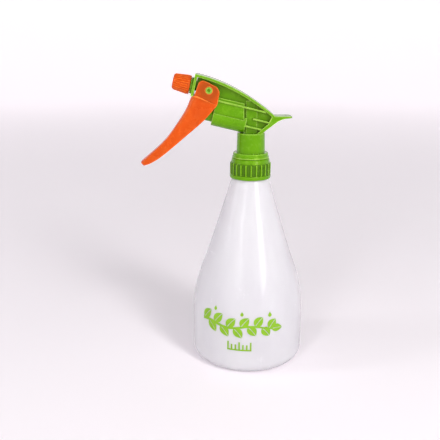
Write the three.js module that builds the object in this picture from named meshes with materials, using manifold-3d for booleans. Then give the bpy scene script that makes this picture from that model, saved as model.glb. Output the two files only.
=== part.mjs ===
// Hand mister: a 500 ml spray bottle with a trigger pump on a 28 mm screw neck.
// Millimetres, +Z up. The origin is on the bottle's axis, on the plane that it stands on.
// The nozzle points towards -X, and the trigger hangs below it.

import * as THREE from 'three';
import * as BufferGeometryUtils from 'three/addons/utils/BufferGeometryUtils.js';
import Module from 'manifold-3d';

const wasm = await Module();
wasm.setup();

// ---------------------------------------------------------------- driving dimensions

const DEG = Math.PI / 180;

// Bottle
const BASE_R = 45;
const BASE_CORNER_R = 9;
const PUSH_UP = 0.8; // the middle of the base stands this far above the foot ring
const BOTTLE_WALL = 1.2;
const NECK_ROOT_R = 12.5;
const NECK_BORE_R = 10.75;
const NECK_START_Z = 151;
const RIM_Z = 161.2;

// Neck thread, 6 turns to the inch
const NECK_PITCH = 4.233;
const NECK_THREAD_H = 1.2;
const NECK_THREAD_Z = 154.2;

// Screw collar
const COLLAR_BOTTOM_Z = 150.4;
const COLLAR_TOP_Z = 166;
const COLLAR_ROOT_R = 15.2;
const COLLAR_RIB_R = 16;
const COLLAR_BORE_R = 14.05;
const COLLAR_HOLE_R = 11.6;
const COLLAR_RIBS = 24;

// Stack inside the collar, from the bottle's rim up
const SEAT_GAP = 0.3; // between pieces that rest on each other
const GASKET_T = 1.1;
const FLANGE_T = 1.2;
const SEAL_R = 12.6;

// Stem of the head
const STEM_TOP_Z = 185.5;
const STEM_BORE_R = 8.9;
const PLUG_TOP_Z = 171.2;
const COLUMN_R = 4.65;
const COLUMN_BORE_R = 1.5;

// Pump and discharge axes: parallel, tilted nose up, in the mid plane
const TILT = 13 * DEG;
const PUMP_Z = 191.7; // where the pump's axis crosses the bottle's
const DISCHARGE_UP = 18.1; // from the pump's axis to the discharge axis
const CYLINDER_R = 7.8;
const CYLINDER_BORE_R = 5.6;
const CYLINDER_FRONT = 30.5; // distances along the pump's axis, from the bottle's axis
const CYLINDER_REAR = 4.5;
const CHAMBER_END = 7;

// Flange band round the web of the head
const BAND_T = 2;
const REAR_FLANGE_T = 2.8;
const BAND_HALF = 10.2;
const TAIL_HALF = 7.5;
const WEB_HALF = 3.6;
const RIB_HALF = 7.8;
const RIB_T = 1.3;
const BLOCK_HALF = 6.4;
const FRONT_PLATE_X = -50.2;

// Nozzle
const SPIGOT_R = 3.9;
const SPIGOT_END = 61.5;
const NOZZLE_PITCH = 2.5;
const NOZZLE_THREAD_H = 0.6;
const CAP_BACK = 52.3;
const CAP_FRONT = 65.7;
const CAP_R = 7;
const CAP_BORE_R = 4.9;
const CAP_RIBS = 24;
const DISCHARGE_BORE_R = 1.75;
const OUTLET_SEAT = 9;

// Trigger
const PIVOT = [-37.6, 18.1];
const PIVOT_R = 2.4;
const PIVOT_CLEARANCE = 0.2;
const EAR_INNER = 8.3;
const EAR_OUTER = 9.8;
const LEVER_HALF = 10.4;
const LEVER_WALL = 2;

// Check balls and dip tube
const INLET_BALL_R = 2;
const OUTLET_BALL_R = 1.5;
const DIP_TUBE_R = 2.3;
const DIP_TUBE_BORE_R = 1.5;
const DIP_TUBE_END_Z = 8;

// ---------------------------------------------------------------- frames

// The head's frame lies on the pump's axis: +X to the rear along it, +Z up and square to it.
const HEAD = new THREE.Matrix4().makeRotationY(TILT).setPosition(0, 0, PUMP_Z);

// The pump's and the discharge frames have +Z forward along their axes, out of the head.
const FORWARD = new THREE.Matrix4().makeRotationY(-Math.PI / 2);
const PUMP = HEAD.clone().multiply(FORWARD);
const DISCHARGE = HEAD.clone()
  .multiply(new THREE.Matrix4().makeTranslation(0, 0, DISCHARGE_UP))
  .multiply(FORWARD);

// ---------------------------------------------------------------- solids

function signedVolume(positions, triangles) {
  const corners = [new THREE.Vector3(), new THREE.Vector3(), new THREE.Vector3()];
  let volume = 0;
  for (let i = 0; i < triangles.length; i += 3) {
    corners.forEach((corner, k) => corner.fromArray(positions, 3 * triangles[i + k]));
    volume += corners[0].dot(corners[1].cross(corners[2])) / 6;
  }
  return volume;
}

// A closed three.js geometry as a solid, with its faces pointing out.
function toSolid(geometry) {
  const bare = geometry.clone();
  bare.deleteAttribute('normal');
  bare.deleteAttribute('uv');
  const merged = BufferGeometryUtils.mergeVertices(bare, 1e-4);
  const triangles = [];
  for (let i = 0; i < merged.index.count; i += 3) {
    const [a, b, c] = [0, 1, 2].map((k) => merged.index.getX(i + k));
    if (a !== b && b !== c && c !== a) {
      triangles.push(a, b, c);
    }
  }
  const vertProperties = Float32Array.from(merged.attributes.position.array);
  if (signedVolume(vertProperties, triangles) < 0) {
    triangles.reverse();
  }
  const triVerts = Uint32Array.from(triangles);
  return new wasm.Manifold(new wasm.Mesh({ numProp: 3, vertProperties, triVerts }));
}

const asSolid = (piece) => (piece.isBufferGeometry ? toSolid(piece) : piece);
const join = (...pieces) => pieces.map(asSolid).reduce((a, b) => a.add(b));
const cut = (body, ...tools) => tools.map(asSolid).reduce((a, b) => a.subtract(b), asSolid(body));
const common = (...pieces) => pieces.map(asSolid).reduce((a, b) => a.intersect(b));

function toGeometry(piece) {
  const mesh = asSolid(piece).getMesh();
  const geometry = new THREE.BufferGeometry();
  geometry.setAttribute('position', new THREE.BufferAttribute(mesh.vertProperties, 3));
  geometry.setIndex(new THREE.BufferAttribute(mesh.triVerts, 1));
  geometry.computeVertexNormals();
  return geometry;
}

// ---------------------------------------------------------------- basic shapes

// A solid of revolution about Z, from [radius, height] points.
function turned(profile, segments = 24) {
  const points = profile.map(([r, z]) => new THREE.Vector2(r, z));
  return new THREE.LatheGeometry([...points, points[0]], segments).rotateX(Math.PI / 2);
}

const rod = (radius, low, high, segments = 24) =>
  turned([[0, low], [radius, low], [radius, high], [0, high]], segments);

const ring = (inner, outer, low, high, segments = 24) =>
  turned([[inner, low], [outer, low], [outer, high], [inner, high]], segments);

// A plate from an outline of [x, z] points, between two values of y.
function plate(outline, nearY, farY) {
  const shape = new THREE.Shape(outline.map(([x, z]) => new THREE.Vector2(x, z)));
  const geometry = new THREE.ExtrudeGeometry(shape, { depth: farY - nearY, bevelEnabled: false });
  return geometry.rotateX(Math.PI / 2).translate(0, farY, 0);
}

// A slab from an outline of [x, y] points, between two heights.
function slab(outline, low, high) {
  const shape = new THREE.Shape(outline.map(([x, y]) => new THREE.Vector2(x, y)));
  const geometry = new THREE.ExtrudeGeometry(shape, { depth: high - low, bevelEnabled: false });
  return geometry.translate(0, 0, low);
}

function box(lowX, highX, lowY, highY, lowZ, highZ) {
  const geometry = new THREE.BoxGeometry(highX - lowX, highY - lowY, highZ - lowZ);
  return geometry.translate((lowX + highX) / 2, (lowY + highY) / 2, (lowZ + highZ) / 2);
}

// A rod across the mid plane, along Y.
const crossRod = (radius, [x, z], nearY, farY, segments = 24) =>
  rod(radius, -farY, -nearY, segments).rotateX(Math.PI / 2).translate(x, 0, z);

// Points along a smooth curve through a few [x, z] points.
function smooth(points, count) {
  const curve = new THREE.SplineCurve(points.map(([x, z]) => new THREE.Vector2(x, z)));
  return curve.getPoints(count).map((p) => [p.x, p.y]);
}

// The points of an arc from one angle to another, in degrees.
function arc([x, z], radius, from, to, count) {
  return Array.from({ length: count + 1 }, (_, i) => {
    const angle = (from + ((to - from) * i) / count) * DEG;
    return [x + radius * Math.cos(angle), z + radius * Math.sin(angle)];
  });
}

// The same line moved sideways, to the right of its direction.
function beside(line, distance) {
  return line.map(([x, z], i) => {
    const [x0, z0] = line[Math.max(i - 1, 0)];
    const [x1, z1] = line[Math.min(i + 1, line.length - 1)];
    const length = Math.hypot(x1 - x0, z1 - z0);
    return [x + ((z1 - z0) / length) * distance, z - ((x1 - x0) / length) * distance];
  });
}

// A closed strip between a line and its copy to the right.
const strip = (line, thickness) => [...line, ...beside(line, thickness).reverse()];

// A screw thread's ridge wound up a helix round Z. A negative height points inwards.
// It is sunk into its wall and runs out to nothing at both ends.
function threadRidge({ radius, height, width, pitch, turns, startZ, stepsPerTurn = 24 }) {
  const sunk = -0.3 * Math.sign(height);
  const crest = 0.45 * width;
  const shape = new THREE.Shape([
    new THREE.Vector2(sunk, -width / 2),
    new THREE.Vector2(height, -crest / 2),
    new THREE.Vector2(height, crest / 2),
    new THREE.Vector2(sunk, width / 2),
  ]);
  const steps = Math.round(turns * stepsPerTurn);
  const geometry = new THREE.ExtrudeGeometry(shape, { depth: 1, steps, bevelEnabled: false });
  const runOut = 0.12 / turns;
  const position = geometry.attributes.position;
  for (let i = 0; i < position.count; i++) {
    const along = position.getZ(i);
    const fade = Math.min(1, along / runOut, (1 - along) / runOut);
    const offset = position.getX(i) === Math.fround(sunk) ? sunk : height * fade;
    const angle = along * turns * 2 * Math.PI;
    position.setXYZ(
      i,
      (radius + offset) * Math.cos(angle),
      (radius + offset) * Math.sin(angle),
      startZ + position.getY(i) + along * turns * pitch,
    );
  }
  return geometry;
}

// A round wire coil about Z with its ends ground to flat turns.
class Coil extends THREE.Curve {
  constructor(radius, low, high, turns) {
    super();
    Object.assign(this, { radius, low, high, turns });
  }

  getPoint(t, target = new THREE.Vector3()) {
    const angle = t * this.turns * 2 * Math.PI;
    const flat = 0.75 / this.turns;
    const rise = THREE.MathUtils.clamp((t - flat) / (1 - 2 * flat), 0, 1);
    const wire = (this.high - this.low) * 0.03 * t;
    const z = this.low + wire + (this.high - this.low) * 0.97 * rise;
    return target.set(this.radius * Math.cos(angle), this.radius * Math.sin(angle), z);
  }
}

function spring({ radius, wire, low, high, turns, stepsPerTurn = 12, sides = 5 }) {
  const section = new THREE.Shape(
    arc([0, 0], wire, 0, 360, sides).slice(1).map(([x, y]) => new THREE.Vector2(x, y)),
  );
  const extrudePath = new Coil(radius, low + wire, high - wire, turns);
  return new THREE.ExtrudeGeometry(section, { steps: turns * stepsPerTurn, extrudePath });
}

// A round outline with ribs on it.
function ribbedOutline(rootR, ribR, count, ribWidth) {
  const outline = [];
  for (let i = 0; i < count; i++) {
    const middle = (i / count) * 2 * Math.PI;
    const foot = (0.62 * ribWidth) / rootR;
    const tip = (0.38 * ribWidth) / ribR;
    for (const [r, offset] of [[rootR, -foot], [ribR, -tip], [ribR, tip], [rootR, foot]]) {
      outline.push([r * Math.cos(middle + offset), r * Math.sin(middle + offset)]);
    }
  }
  return outline;
}

// ---------------------------------------------------------------- materials

function plastic(color, roughness, opacity = 1) {
  return new THREE.MeshStandardMaterial({
    color, roughness, metalness: 0, opacity, transparent: opacity < 1,
  });
}

const GREEN = 0x74b80c;
const ORANGE = 0xf05a00;
const WHITE = 0xf2f2ee;

function part(name, piece, material) {
  const mesh = new THREE.Mesh(toGeometry(piece), material);
  mesh.name = name;
  return mesh;
}

// ---------------------------------------------------------------- bottle and neck stack

function bottle() {
  const corner = [BASE_R - BASE_CORNER_R, BASE_CORNER_R];
  const shoulder = smooth(
    [[BASE_R, 40], [43.7, 54], [39.7, 71.5], [33, 90.5], [25.5, 114], [18, 138], [14.6, 149.6]],
    9,
  );
  const outside = [
    [0, PUSH_UP], [29, PUSH_UP], [32, 0],
    ...arc(corner, BASE_CORNER_R, -90, 0, 5),
    ...shoulder,
    [NECK_ROOT_R, NECK_START_Z], [NECK_ROOT_R, RIM_Z - 0.3], [NECK_ROOT_R - 0.3, RIM_Z],
  ];
  const inside = [
    [NECK_BORE_R, RIM_Z], [NECK_BORE_R, NECK_START_Z - 0.4],
    ...shoulder.reverse().map(([r, z]) => [r - BOTTLE_WALL, z - 0.4]),
    ...arc(corner, BASE_CORNER_R - BOTTLE_WALL, 0, -90, 4),
    [31.6, BOTTLE_WALL], [28.6, PUSH_UP + BOTTLE_WALL], [0, PUSH_UP + BOTTLE_WALL],
  ];
  const thread = threadRidge({
    radius: NECK_ROOT_R, height: NECK_THREAD_H, width: 1.9,
    pitch: NECK_PITCH, turns: 1.3, startZ: NECK_THREAD_Z,
  });
  return join(turned([...outside, ...inside], 36), thread);
}

function screwCollar() {
  const ribbed = slab(ribbedOutline(COLLAR_ROOT_R, COLLAR_RIB_R, COLLAR_RIBS, 1.1), 152.8, 162.3);
  const body = turned([
    [0, COLLAR_BOTTOM_Z], [15.7, COLLAR_BOTTOM_Z], [16.1, 150.9], [16.1, 153], [15.7, 153.4],
    [14.9, 153.4], [14.9, 162.6], [14.8, 162.9],
    [14.6, 165.4], [14, COLLAR_TOP_Z], [0, COLLAR_TOP_Z],
  ], 36);
  const bore = rod(COLLAR_BORE_R, COLLAR_BOTTOM_Z - 1, COLLAR_TOP_Z - 1.55, 36);
  const hole = rod(COLLAR_HOLE_R, COLLAR_BOTTOM_Z, COLLAR_TOP_Z + 1, 32);
  const thread = threadRidge({
    radius: COLLAR_BORE_R, height: -1.1, width: 1.9,
    pitch: NECK_PITCH, turns: 1.8, startZ: NECK_THREAD_Z - NECK_PITCH / 2,
  });
  return join(cut(join(body, ribbed), bore, hole), thread);
}

const gasketLow = RIM_Z + SEAT_GAP;
const gasketHigh = gasketLow + GASKET_T;
const flangeLow = gasketHigh + SEAT_GAP;
const flangeHigh = flangeLow + FLANGE_T;
const seatZ = flangeHigh + 1.2; // the edge that the inlet ball sits on
const inletBallZ = seatZ + 1.58;

const neckGasket = () => ring(9.2, SEAL_R, gasketLow, gasketHigh);

function valveInsert() {
  return turned([
    [DIP_TUBE_R + SEAT_GAP, 155], [3.8, 155], [3.8, flangeLow], [SEAL_R, flangeLow],
    [SEAL_R, flangeHigh], [STEM_BORE_R - SEAT_GAP, flangeHigh],
    [STEM_BORE_R - SEAT_GAP, PLUG_TOP_Z], [7.2, PLUG_TOP_Z], [7.2, seatZ], [3.9, seatZ],
    [3.9, PLUG_TOP_Z], [2.4, PLUG_TOP_Z], [2.4, seatZ], [1.4, seatZ],
    [1.4, flangeHigh + 0.2], [DIP_TUBE_R + SEAT_GAP, flangeHigh + 0.2],
  ]);
}

// The dip tube's lower end is cut to a shallow vee, so that it can't seal on the bottom.
function dipTube() {
  const tube = ring(DIP_TUBE_BORE_R, DIP_TUBE_R, DIP_TUBE_END_Z, flangeHigh - 0.1, 24);
  const low = DIP_TUBE_END_Z - 1;
  const vee = plate([[-4, low], [4, low], [0, low + 4]], -4, 4);
  return cut(tube, vee);
}

// ---------------------------------------------------------------- head body

const topLine = new THREE.QuadraticBezierCurve(
  new THREE.Vector2(FRONT_PLATE_X, 27.6),
  new THREE.Vector2(-17.5, 28.2),
  new THREE.Vector2(17, 10.2),
).getPoints(20).map((p) => [p.x, p.y]);

const toHead = ([x, z]) => {
  const point = new THREE.Vector3(x, 0, z).applyMatrix4(HEAD.clone().invert());
  return [point.x, point.z];
};

// The hand rest runs level behind the band, and its underside curves down into the rear flange.
const tailOutline = [
  [17.2, 198.7], [30.4, 198.7], [31, 198.2], [31, 197.7], [30.4, 197.2],
  ...smooth([[27, 197], [22.4, 195.9], [18.2, 193.4], [14.4, 190.4], [10.6, 187.8]], 8),
].map(toHead);

const rearLine = [[16.6, 196.6], [4.6, 186.1], [3, 184.6]].map(toHead);

// The band's half width in plan: full at the front, narrower towards the rounded tail.
function planOutline() {
  const tailEnd = 28.9;
  const corner = 4;
  const near = [
    [FRONT_PLATE_X - 1, -BAND_HALF], [-28, -BAND_HALF], [8, -TAIL_HALF - 0.8], [16, -TAIL_HALF],
    ...arc([tailEnd - corner, -TAIL_HALF + corner], corner, -90, 0, 6),
  ];
  return [...near, ...near.map(([x, y]) => [x, -y]).reverse()];
}

function band() {
  const pieces = [
    plate(strip(topLine, BAND_T), -12, 12),
    plate([[FRONT_PLATE_X, 11.2], [FRONT_PLATE_X + BAND_T, 11.2], [FRONT_PLATE_X + BAND_T, 26.5],
      [FRONT_PLATE_X, 27.6]], -12, 12),
    plate(tailOutline, -12, 12),
    plate(strip(rearLine, -REAR_FLANGE_T), -12, 12),
  ];
  return common(join(...pieces), slab(planOutline(), -30, 40));
}

function web() {
  const roof = beside(topLine, 1).filter(([x]) => x > -48.5 && x < 15.5);
  return plate([[-48.5, 17], ...roof, [15.6, 9], [6.6, -4], [0, -7], [-8, -7], [-8, 1],
    [-29.8, 1], [-29.8, 17]], -WEB_HALF, WEB_HALF);
}

function ribs() {
  const rearEdge = (z) => 5.7 + (z + 4.3) * 0.72;
  return [
    box(-CYLINDER_FRONT, 8, -RIB_HALF, RIB_HALF, 11.5, 11.5 + RIB_T),
    box(0, rearEdge(4.4) + 1, -RIB_HALF, RIB_HALF, 4.4, 4.4 + RIB_T),
    box(-CYLINDER_REAR - 1, rearEdge(-2.1) + 1, -RIB_HALF, RIB_HALF, -2.1, -2.1 + RIB_T),
  ];
}

// The pump's cylinder is a full round below and narrows to the block above its ledges.
function pumpCylinder() {
  const barrel = rod(CYLINDER_R, CYLINDER_REAR, CYLINDER_FRONT).applyMatrix4(FORWARD);
  const collar = rod(CYLINDER_R, CYLINDER_REAR, CYLINDER_REAR + 2).applyMatrix4(FORWARD);
  const ledge = 2.4;
  const block = plate([[-CYLINDER_FRONT, -4], [-CYLINDER_FRONT, 14.6], [-9.3, 14.6], [-5.2, -4]],
    -BLOCK_HALF, BLOCK_HALF);
  return [
    common(barrel, box(-40, 0, -9, 9, -9, ledge)),
    common(collar, box(-40, 0, -9, 9, -9, ledge + 2)),
    block,
  ];
}

function pivotStubs() {
  const stub = crossRod(PIVOT_R, PIVOT, -LEVER_HALF, LEVER_HALF);
  const shoulder = crossRod(PIVOT_R + 1.4, PIVOT, -EAR_INNER + SEAT_GAP, EAR_INNER - SEAT_GAP);
  const dimples = [-1, 1].map((side) =>
    crossRod(1, PIVOT, side * LEVER_HALF - 1, side * LEVER_HALF + 1, 16));
  return cut(join(stub, shoulder), ...dimples);
}

function stem() {
  return turned([
    [STEM_BORE_R, 164.4], [11.2, 164.4], [11.2, COLLAR_TOP_Z + SEAT_GAP],
    [14.3, COLLAR_TOP_Z + SEAT_GAP], [14.3, 167.2], [13.8, 167.7], [13.7, 169.8],
    [13.2, 170.3], [11.1, 170.3], [10.75, STEM_TOP_Z - 0.5], [10.3, STEM_TOP_Z],
    [0, STEM_TOP_Z], [0, 183.9], [STEM_BORE_R, 183.9],
  ], 36);
}

function spigot() {
  const thread = threadRidge({
    radius: SPIGOT_R, height: NOZZLE_THREAD_H, width: 1.1,
    pitch: NOZZLE_PITCH, turns: 2, startZ: 55, stepsPerTurn: 16,
  });
  return [rod(6.2, 50, 52), rod(SPIGOT_R, 50, SPIGOT_END), thread];
}

// A copy of a solid or geometry, moved by a matrix.
function placed(piece, matrix) {
  const geometry = piece.isBufferGeometry ? piece.clone() : toGeometry(piece);
  return geometry.applyMatrix4(matrix);
}

// The feed column and the discharge tube meet inside the head, under the band.
function liquidTubes(columnEnd) {
  const underBand = plate([...beside(topLine, 0.6), [17, -30], [FRONT_PLATE_X, -30]], -12, 12);
  const tubes = join(rod(COLUMN_R, columnEnd, 210), placed(rod(3.3, 4, 50), DISCHARGE));
  return cut(
    common(tubes, placed(underBand, HEAD)),
    box(-3, 3, -0.5, 0.5, columnEnd - 1, columnEnd + 1),
    box(-0.5, 0.5, -3, 3, columnEnd - 1, columnEnd + 1),
  );
}

function headBody() {
  const columnEnd = PLUG_TOP_Z + SEAT_GAP;
  const tilted = [band(), web(), ...ribs(), ...pumpCylinder(), pivotStubs()];
  const solid = join(
    stem(),
    liquidTubes(columnEnd),
    ...tilted.map((piece) => placed(piece, HEAD)),
    ...spigot().map((piece) => placed(piece, DISCHARGE)),
  );
  return cut(
    solid,
    rod(COLUMN_BORE_R, columnEnd - 1, 209.8, 16),
    placed(rod(CYLINDER_BORE_R, CHAMBER_END, CYLINDER_FRONT + 1), PUMP),
    placed(rod(1.2, 0.5, CHAMBER_END + 1, 12), PUMP),
    placed(rod(1, 4.5, OUTLET_SEAT + 1, 12), DISCHARGE),
    placed(rod(DISCHARGE_BORE_R, OUTLET_SEAT, SPIGOT_END + 1, 16), DISCHARGE),
    placed(rod(2.6, 57, SPIGOT_END + 1, 16), DISCHARGE),
  );
}

// ---------------------------------------------------------------- pump

const PLUNGER_R = 5.2;
const PLUNGER_NOSE = 48.3;
const PLUNGER_END = 16.8;
const CUP_SEAT = 21.2;

function plunger() {
  return turned([
    [3.6, PLUNGER_END], [4.5, PLUNGER_END], [4.5, CUP_SEAT], [PLUNGER_R, CUP_SEAT],
    [PLUNGER_R, 42.6], [4.8, 43.2], [3, 43.2], [3, 46.6], [2.4, 47.7], [1.3, 48.2],
    [0, PLUNGER_NOSE], [0, 40], [3.6, 40],
  ]);
}

// Two lips: the inner one drives the liquid, the outer one keeps air out of the chamber.
function pistonCup() {
  const inner = 4.8;
  const waist = 5.1;
  const lip = 5.4;
  return turned([
    [inner, PLUNGER_END + 0.4], [lip - 0.15, PLUNGER_END], [lip, PLUNGER_END + 0.4],
    [waist, PLUNGER_END + 1.6], [waist, CUP_SEAT - 1.8], [lip, CUP_SEAT - 0.8],
    [lip - 0.15, CUP_SEAT - 0.4], [inner, CUP_SEAT - 0.6],
  ]);
}

const returnSpring = () =>
  spring({ radius: 2.75, wire: 0.4, low: CHAMBER_END + 0.3, high: 39.7, turns: 8 });

// ---------------------------------------------------------------- outlet valve and nozzle

const outletBallAt = OUTLET_SEAT + 1.35;

const outletSpring = () =>
  spring({ radius: 1.2, wire: 0.2, low: 12.1, high: 17.3, turns: 5, stepsPerTurn: 10, sides: 4 });

// The core's head fits the spigot and has two swirl grooves across its front face.
function swirlCore() {
  const stalk = turned([
    [0, 17.6], [1, 17.6], [1.2, 18], [1.2, 57.4], [2.3, 57.4], [2.3, 61], [2, 61.3], [0, 61.3],
  ], 24);
  const grooves = [0, Math.PI / 2].map((turn) =>
    box(-3, 3, 0.5, 1.1, 60.6, 62).rotateZ(turn));
  return cut(stalk, ...grooves);
}

const nozzleSeal = () => ring(1.2, 4.5, SPIGOT_END + 0.3, SPIGOT_END + 1.3, 32);

// The cap's outside is one ribbed outline, scaled at each level from its back to its front.
function capOutside() {
  const levels = [[0, 0.97], [0.3, 1], [11.9, 0.84], [CAP_FRONT - CAP_BACK, 0.74]];
  const outline = ribbedOutline(CAP_R, CAP_R + 0.4, CAP_RIBS, 0.9);
  const shape = new THREE.Shape(outline.map(([x, y]) => new THREE.Vector2(x, y)));
  const steps = levels.length - 1;
  const geometry = new THREE.ExtrudeGeometry(shape, { depth: steps, steps, bevelEnabled: false });
  const position = geometry.attributes.position;
  for (let i = 0; i < position.count; i++) {
    const [up, scale] = levels[Math.round(position.getZ(i))];
    position.setXYZ(i, position.getX(i) * scale, position.getY(i) * scale, CAP_BACK + up);
  }
  return geometry;
}

function nozzleCap() {
  const innerFace = SPIGOT_END + 1.6;
  const thread = threadRidge({
    radius: CAP_BORE_R, height: -NOZZLE_THREAD_H, width: 1.1,
    pitch: NOZZLE_PITCH, turns: 2.4, startZ: 55 - NOZZLE_PITCH / 2, stepsPerTurn: 16,
  });
  const bore = rod(CAP_BORE_R, CAP_BACK - 1, innerFace);
  const orifice = turned([
    [0, innerFace - 1], [0.5, innerFace - 1], [0.5, CAP_FRONT - 1.2], [2.4, CAP_FRONT + 0.1],
    [0, CAP_FRONT + 0.1],
  ], 16);
  return join(cut(capOutside(), bore, orifice), thread);
}

// ---------------------------------------------------------------- trigger

const leverFront = smooth(
  [[-49.4, 10.6], [-51.6, -1], [-56.3, -13.5], [-63, -28], [-76.4, -47.4]],
  16,
);
const leverRear = smooth(
  [[-73, -49.3], [-68, -45.8], [-60.4, -37.6], [-46.4, -18.8], [-36, -4.2], [-29.2, 8.8]],
  14,
);

// The lever seen from the front: widest at the ears, narrow at the finger end.
function frontOutline(inset) {
  const side = smooth([[LEVER_HALF, 12], [LEVER_HALF, 2], [9.2, -16], [7.4, -36], [6.4, -52]], 10)
    .map(([y, z]) => [y - inset, z]);
  const edge = [[side[0][0], 30], ...side];
  return [...edge, ...edge.map(([y, z]) => [-y, z]).reverse()];
}

// A block of the front outline, as deep as the whole trigger.
const frontBlock = (inset) =>
  plate(frontOutline(inset), 0, 70).rotateZ(Math.PI / 2).translate(-20, 0, 0);

function trigger() {
  const stepLine = [[-29.2, 9.4], [-38, 10.6], [-47.4, 12.6], [-47.7, 10.8]];
  const outline = [...leverFront, [-75.9, -49], ...leverRear, ...stepLine];
  const innerFront = beside(leverFront, -LEVER_WALL);
  const cavity = [
    [-46.8, 20], ...innerFront.slice(0, 15), [-72.2, -46], [-60, -52], [-20, -20], [-20, 20],
  ];
  const channel = cut(
    common(plate(outline, -LEVER_HALF, LEVER_HALF), frontBlock(0)),
    common(plate(cavity, -EAR_INNER, EAR_INNER), frontBlock(LEVER_HALF - EAR_INNER)),
  );
  const earOutline = [
    [-47.8, 8], [-47, 16], [-46.6, 20], ...arc([-42.9, 20.6], 3.6, 170, 80, 5), [-39.4, 23.8],
    ...arc([-35.4, 16.4], 6.2, 68, 0, 6), [-29, 10], [-29.6, 7],
  ];
  const ears = [-1, 1].map((side) => {
    const [near, far] = [EAR_INNER * side, EAR_OUTER * side].sort((a, b) => a - b);
    return plate(earOutline, near, far);
  });
  const holes = crossRod(PIVOT_R + PIVOT_CLEARANCE, PIVOT, -12, 12);
  return cut(join(channel, ...ears), holes);
}

// ---------------------------------------------------------------- assembly

const mister = new THREE.Group();
const pump = new THREE.Group();
const discharge = new THREE.Group();
const head = new THREE.Group();
head.applyMatrix4(HEAD);
pump.applyMatrix4(PUMP);
discharge.applyMatrix4(DISCHARGE);

mister.add(
  part('bottle', bottle(), plastic(0xe9e8ee, 0.35, 0.75)),
  part('screw_collar', screwCollar(), plastic(GREEN, 0.4)),
  part('neck_gasket', neckGasket(), plastic(0xd8d8d2, 0.8)),
  part('valve_insert', valveInsert(), plastic(WHITE, 0.5)),
  part('dip_tube', dipTube(), plastic(0xf0f0f0, 0.3, 0.6)),
  part('head_body', headBody(), plastic(GREEN, 0.4)),
  head, pump, discharge,
);

const inletBall = part('inlet_ball', new THREE.SphereGeometry(INLET_BALL_R, 16, 10),
  new THREE.MeshStandardMaterial({ color: 0xdfe8e8, roughness: 0.1 }));
inletBall.position.set(0, 0, inletBallZ);
mister.add(inletBall);

head.add(part('trigger', trigger(), plastic(ORANGE, 0.4)));

pump.add(
  part('plunger', plunger(), plastic(GREEN, 0.4)),
  part('piston_cup', pistonCup(), plastic(WHITE, 0.5)),
  part('return_spring', returnSpring(),
    new THREE.MeshStandardMaterial({ color: 0xb8bcc0, roughness: 0.3, metalness: 1 })),
);

const outletBall = part('outlet_ball', new THREE.SphereGeometry(OUTLET_BALL_R, 12, 8),
  new THREE.MeshStandardMaterial({ color: 0xdfe8e8, roughness: 0.1 }));
outletBall.position.set(0, 0, outletBallAt);

discharge.add(
  outletBall,
  part('outlet_spring', outletSpring(),
    new THREE.MeshStandardMaterial({ color: 0xb8bcc0, roughness: 0.3, metalness: 1 })),
  part('swirl_core', swirlCore(), plastic(WHITE, 0.5)),
  part('nozzle_seal', nozzleSeal(), plastic(0xe8e8e0, 0.7)),
  part('nozzle_cap', nozzleCap(), plastic(ORANGE, 0.4)),
);

export default mister;
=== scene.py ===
"""Hand mister: the looks of a 500 ml trigger spray bottle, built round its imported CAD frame.

Shapes are made in millimetres in the frame's axes (+Z up, nozzle towards -X) and scaled to metres.
"""

from math import asin, copysign, cos, dist, hypot, pi, sin, sqrt, tan

import bmesh
import bpy
from mathutils import Matrix, Vector
from mathutils.geometry import interpolate_bezier


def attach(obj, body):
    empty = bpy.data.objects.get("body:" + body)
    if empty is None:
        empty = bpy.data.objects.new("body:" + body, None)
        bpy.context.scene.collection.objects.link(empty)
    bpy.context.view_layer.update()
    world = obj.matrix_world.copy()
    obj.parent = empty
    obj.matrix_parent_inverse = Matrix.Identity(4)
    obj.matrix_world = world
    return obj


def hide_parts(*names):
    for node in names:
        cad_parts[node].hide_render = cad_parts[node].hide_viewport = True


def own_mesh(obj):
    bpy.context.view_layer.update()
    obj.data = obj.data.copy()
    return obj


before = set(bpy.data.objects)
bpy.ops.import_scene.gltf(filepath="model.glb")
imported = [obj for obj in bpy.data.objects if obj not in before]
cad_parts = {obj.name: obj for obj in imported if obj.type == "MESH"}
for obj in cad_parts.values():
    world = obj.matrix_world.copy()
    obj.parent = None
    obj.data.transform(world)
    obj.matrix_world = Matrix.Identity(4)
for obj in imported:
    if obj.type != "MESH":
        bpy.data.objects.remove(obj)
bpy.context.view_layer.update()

MM = 0.001
DEG = pi / 180
TAU = 2 * pi
TINY = 1e-6

# ---- sizes, in millimetres

BASE_R = 45.0
BASE_CORNER_R = 9.0
PUSH_UP = 0.8
WALL = 1.2
NECK_ROOT_R = 12.5
NECK_BORE_R = 10.75
NECK_START_Z = 151.0
RIM_Z = 161.2
NECK_PITCH = 4.233
NECK_THREAD_Z = 154.2
COLLAR_BORE_R = 14.05
COLLAR_WALL_R = 15.15
COLLAR_RIBS = 24
RIBS_LOW = 153.5
RIBS_HIGH = 162.6
FLANGE_LOW = 162.9
FLANGE_HIGH = 164.1
SEAT_Z = 165.3
PLUG_TOP_Z = 171.2

TILT = 13 * DEG
PUMP_Z = 191.7
DISCHARGE_UP = 18.1
CYLINDER_R = 7.8
CYLINDER_FRONT = 30.5
CYLINDER_REAR = 4.5
FRONT_PLATE_X = -50.2
FRONT_PLATE_LOW = 11.2
FRONT_PLATE_TOP = 27.6
BAND_T = 2.0
BAND_HALF = 10.2
TAIL_HALF = 7.5
WEB_HALF = 3.6
PIVOT = (-37.6, 18.1)
EAR_INNER = 8.3
EAR_OUTER = 9.8
LEVER_WALL = 2.0
NOZZLE_PITCH = 2.5
CAP_BACK = 52.3
CAP_FRONT = 65.7
CAP_BORE_R = 4.9
CAP_RIDGES = 24
SPIGOT_R = 3.9
SPIGOT_END = 61.5
INLET_BALL_R = 2
INLET_BALL_Z = 166.88
OUTLET_BALL_R = 1.5
OUTLET_BALL_AT = 10.35

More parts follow.
